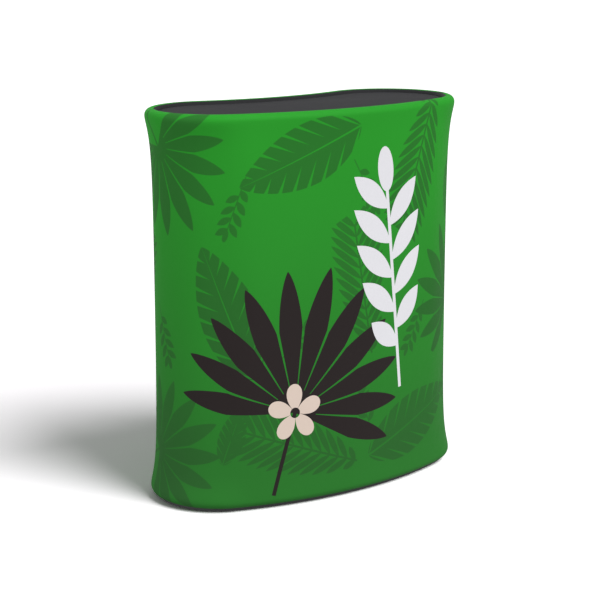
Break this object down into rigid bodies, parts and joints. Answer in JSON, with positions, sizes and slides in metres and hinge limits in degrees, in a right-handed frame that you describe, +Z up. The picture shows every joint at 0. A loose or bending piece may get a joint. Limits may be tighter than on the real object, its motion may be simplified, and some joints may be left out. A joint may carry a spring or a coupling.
{
  "type": "exhibition counter",
  "caption": "Free-standing counter with a kidney-shaped plan: stretch-fabric sleeve over tube hoops, recessed dark top, inner shelf and rear access flap.",
  "frame": {"origin": "on the floor under the middle of the counter's bounding box", "axes": "+Z up, -Y towards the visitors' side, +X to the right of someone who faces the front"},
  "size_m": [0.9012, 0.406, 1],
  "materials": {
    "printed_fabric": "printed stretch polyester, matt with a soft sheen",
    "black_webbing": "woven black tape",
    "dark_laminate": "matt dark grey laminate on board",
    "black_edging": "satin black edging strip",
    "aluminium_tube": "mill-finish drawn tube",
    "black_nylon": "moulded nylon",
    "zinc_steel": "zinc-plated spring steel",
    "grey_foam": "closed-cell foam sheet"
  },
  "bodies": {
    "frame": {"base_board": "dark_laminate", "floor_pad": "grey_foam", "bottom_hoop_right": "aluminium_tube", "bottom_hoop_left": "aluminium_tube", "bottom_front_spigot": "aluminium_tube", "bottom_back_spigot": "aluminium_tube", "top_hoop_right": "aluminium_tube", "top_hoop_left": "aluminium_tube", "top_front_spigot": "aluminium_tube", "top_back_spigot": "aluminium_tube", "foot_socket_front_right": "black_nylon", "foot_socket_rear_right": "black_nylon", "foot_socket_rear_left": "black_nylon", "foot_socket_front_left": "black_nylon", "post_front_right": "aluminium_tube", "post_rear_right": "aluminium_tube", "post_rear_left": "aluminium_tube", "post_front_left": "aluminium_tube", "head_socket_front_right": "black_nylon", "head_socket_rear_right": "black_nylon", "head_socket_rear_left": "black_nylon", "head_socket_front_left": "black_nylon", "shelf_clip_front_right": "black_nylon", "shelf_clip_rear_right": "black_nylon", "shelf_clip_rear_left": "black_nylon", "shelf_clip_front_left": "black_nylon", "fabric_sleeve": "printed_fabric", "rim_hem": "black_webbing", "foot_hem": "black_webbing", "hook_tape": "black_webbing", "flap_hinge_tape": "black_webbing"},
    "tabletop": {"tabletop_board": "dark_laminate", "tabletop_edging": "black_edging", "tabletop_peg_front_right": "black_nylon", "tabletop_peg_rear_right": "black_nylon", "tabletop_peg_rear_left": "black_nylon", "tabletop_peg_front_left": "black_nylon"},
    "shelf": {"shelf_board": "dark_laminate"},
    "access_flap": {"access_flap": "printed_fabric", "loop_tape": "black_webbing", "flap_pull_tab": "black_webbing"},
    "head_button_front_right": {"head_snap_clip_front_right": "zinc_steel"},
    "foot_button_front_right": {"foot_snap_clip_front_right": "zinc_steel"},
    "head_button_rear_right": {"head_snap_clip_rear_right": "zinc_steel"},
    "foot_button_rear_right": {"foot_snap_clip_rear_right": "zinc_steel"},
    "head_button_rear_left": {"head_snap_clip_rear_left": "zinc_steel"},
    "foot_button_rear_left": {"foot_snap_clip_rear_left": "zinc_steel"},
    "head_button_front_left": {"head_snap_clip_front_left": "zinc_steel"},
    "foot_button_front_left": {"foot_snap_clip_front_left": "zinc_steel"},
    "top_front_button": {"top_front_snap_clip": "zinc_steel"},
    "top_back_button": {"top_back_snap_clip": "zinc_steel"},
    "bottom_front_button": {"bottom_front_snap_clip": "zinc_steel"},
    "bottom_back_button": {"bottom_back_snap_clip": "zinc_steel"}
  },
  "joints": [
    {"name": "tabletop_lift", "type": "slide", "parent": "frame", "child": "tabletop", "axis": [0, 0, 1], "range_m": [0, 0.12]},
    {"name": "shelf_lift", "type": "slide", "parent": "frame", "child": "shelf", "axis": [0, 0, 1], "range_m": [0, 0.4]},
    {"name": "flap_hinge", "type": "hinge", "parent": "frame", "child": "access_flap", "pos_m": [-0.1683, 0.18892, 0.5], "axis": [0, 0, 1], "range_deg": [0, 110]},
    {"name": "head_button_front_right_press", "type": "slide", "parent": "frame", "child": "head_button_front_right", "axis": [0.2512, -0.9679, 0], "range_m": [0, 0.0066], "stiffness_N_per_m": 1800},
    {"name": "foot_button_front_right_press", "type": "slide", "parent": "frame", "child": "foot_button_front_right", "axis": [0.2512, -0.9679, 0], "range_m": [0, 0.0066], "stiffness_N_per_m": 1800},
    {"name": "head_button_rear_right_press", "type": "slide", "parent": "frame", "child": "head_button_rear_right", "axis": [0, 1, 0], "range_m": [0, 0.0066], "stiffness_N_per_m": 1800},
    {"name": "foot_button_rear_right_press", "type": "slide", "parent": "frame", "child": "foot_button_rear_right", "axis": [0, 1, 0], "range_m": [0, 0.0066], "stiffness_N_per_m": 1800},
    {"name": "head_button_rear_left_press", "type": "slide", "parent": "frame", "child": "head_button_rear_left", "axis": [0, 1, 0], "range_m": [0, 0.0066], "stiffness_N_per_m": 1800},
    {"name": "foot_button_rear_left_press", "type": "slide", "parent": "frame", "child": "foot_button_rear_left", "axis": [0, 1, 0], "range_m": [0, 0.0066], "stiffness_N_per_m": 1800},
    {"name": "head_button_front_left_press", "type": "slide", "parent": "frame", "child": "head_button_front_left", "axis": [-0.2512, -0.9679, 0], "range_m": [0, 0.0066], "stiffness_N_per_m": 1800},
    {"name": "foot_button_front_left_press", "type": "slide", "parent": "frame", "child": "foot_button_front_left", "axis": [-0.2512, -0.9679, 0], "range_m": [0, 0.0066], "stiffness_N_per_m": 1800},
    {"name": "top_front_button_press", "type": "slide", "parent": "frame", "child": "top_front_button", "axis": [0.0131, -0.3825, 0.9239], "range_m": [0, 0.0034], "stiffness_N_per_m": 3000},
    {"name": "top_back_button_press", "type": "slide", "parent": "frame", "child": "top_back_button", "axis": [-0.01, 0.3826, 0.9239], "range_m": [0, 0.0034], "stiffness_N_per_m": 3000},
    {"name": "bottom_front_button_press", "type": "slide", "parent": "frame", "child": "bottom_front_button", "axis": [0.0131, -0.3825, -0.9239], "range_m": [0, 0.0034], "stiffness_N_per_m": 3000},
    {"name": "bottom_back_button_press", "type": "slide", "parent": "frame", "child": "bottom_back_button", "axis": [-0.01, 0.3826, -0.9239], "range_m": [0, 0.0034], "stiffness_N_per_m": 3000}
  ]
}
